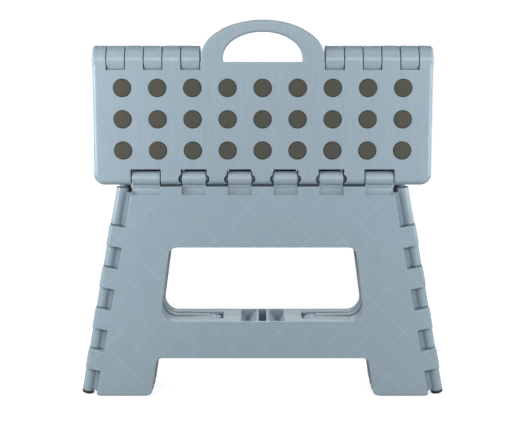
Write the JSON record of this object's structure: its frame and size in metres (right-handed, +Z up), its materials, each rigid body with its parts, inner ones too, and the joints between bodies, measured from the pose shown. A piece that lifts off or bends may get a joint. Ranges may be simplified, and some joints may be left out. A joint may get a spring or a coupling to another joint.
{
  "type": "step stool",
  "caption": "Flat-folding step stool: hinged seat halves with a built-in carrying handle, two windowed legs and folding sides, shown folded.",
  "frame": {"origin": "middle of the footprint, on the floor, with the stool folded", "axes": "+X left to right across the width, -Y to the front, +Z up"},
  "size_m": [0.3738, 0.05, 0.3809],
  "materials": {
    "blue_grey_plastic": "fine matte grain, moulded",
    "grip_dot_rubber": "matte",
    "foot_rubber": "matte",
    "hinge_steel": "drawn rod"
  },
  "bodies": {
    "front_leg": {"front_leg_panel": "blue_grey_plastic", "front_hinge_pins": "hinge_steel", "corner_rod_front_left": "hinge_steel", "corner_rod_front_right": "hinge_steel", "front_leg_foot_pads": "foot_rubber"},
    "rear_leg": {"rear_leg_panel": "blue_grey_plastic", "rear_hinge_pins": "hinge_steel", "corner_rod_rear_left": "hinge_steel", "corner_rod_rear_right": "hinge_steel", "rear_leg_foot_pads": "foot_rubber"},
    "front_seat": {"front_seat_panel": "blue_grey_plastic", "front_seat_dots": "grip_dot_rubber", "centre_hinge_rod_left": "hinge_steel", "centre_hinge_rod_right": "hinge_steel"},
    "rear_seat": {"rear_seat_panel": "blue_grey_plastic", "rear_seat_dots": "grip_dot_rubber"},
    "left_front_side": {"front_left_side_panel": "blue_grey_plastic", "corner_foot_front_left": "foot_rubber", "left_fold_rod_lower": "hinge_steel", "left_fold_rod_upper": "hinge_steel"},
    "right_front_side": {"front_right_side_panel": "blue_grey_plastic", "corner_foot_front_right": "foot_rubber", "right_fold_rod_lower": "hinge_steel", "right_fold_rod_upper": "hinge_steel"},
    "left_rear_side": {"rear_left_side_panel": "blue_grey_plastic", "corner_foot_rear_left": "foot_rubber"},
    "right_rear_side": {"rear_right_side_panel": "blue_grey_plastic", "corner_foot_rear_right": "foot_rubber"}
  },
  "joints": [
    {"name": "seat_to_front_leg", "type": "hinge", "parent": "front_leg", "child": "front_seat", "pos_m": [0, -0.0125, 0.2246], "axis": [-1, 0, 0], "range_deg": [0, 87.53]},
    {"name": "seat_halves", "type": "hinge", "parent": "front_seat", "child": "rear_seat", "pos_m": [0, 0, 0.34043], "axis": [1, 0, 0], "range_deg": [0, 175.06]},
    {"name": "seat_to_rear_leg", "type": "hinge", "parent": "rear_seat", "child": "rear_leg", "pos_m": [0, 0.0125, 0.2246], "axis": [-1, 0, 0], "range_deg": [0, 87.53]},
    {"name": "front_right_corner", "type": "hinge", "parent": "front_leg", "child": "right_front_side", "pos_m": [0.18141, -0.0125, -0.00116], "axis": [-0.1869, 0, 0.9824], "range_deg": [-87.53, 0]},
    {"name": "front_left_corner", "type": "hinge", "parent": "front_leg", "child": "left_front_side", "pos_m": [-0.18141, -0.0125, -0.00116], "axis": [0.1869, 0, 0.9824], "range_deg": [0, 87.53]},
    {"name": "rear_right_corner", "type": "hinge", "parent": "rear_leg", "child": "right_rear_side", "pos_m": [0.18141, 0.0125, -0.00116], "axis": [-0.1869, 0, 0.9824], "range_deg": [0, 87.53]},
    {"name": "rear_left_corner", "type": "hinge", "parent": "rear_leg", "child": "left_rear_side", "pos_m": [-0.18141, 0.0125, -0.00116], "axis": [0.1869, 0, 0.9824], "range_deg": [-87.53, 0]}
  ],
  "couplings": [
    {"joint": "seat_halves", "follows": "seat_to_front_leg", "ratio": 2},
    {"joint": "seat_to_rear_leg", "follows": "seat_to_front_leg", "ratio": 1},
    {"joint": "front_right_corner", "follows": "seat_to_front_leg", "ratio": -1},
    {"joint": "front_left_corner", "follows": "seat_to_front_leg", "ratio": 1},
    {"joint": "rear_right_corner", "follows": "seat_to_front_leg", "ratio": 1},
    {"joint": "rear_left_corner", "follows": "seat_to_front_leg", "ratio": -1}
  ]
}
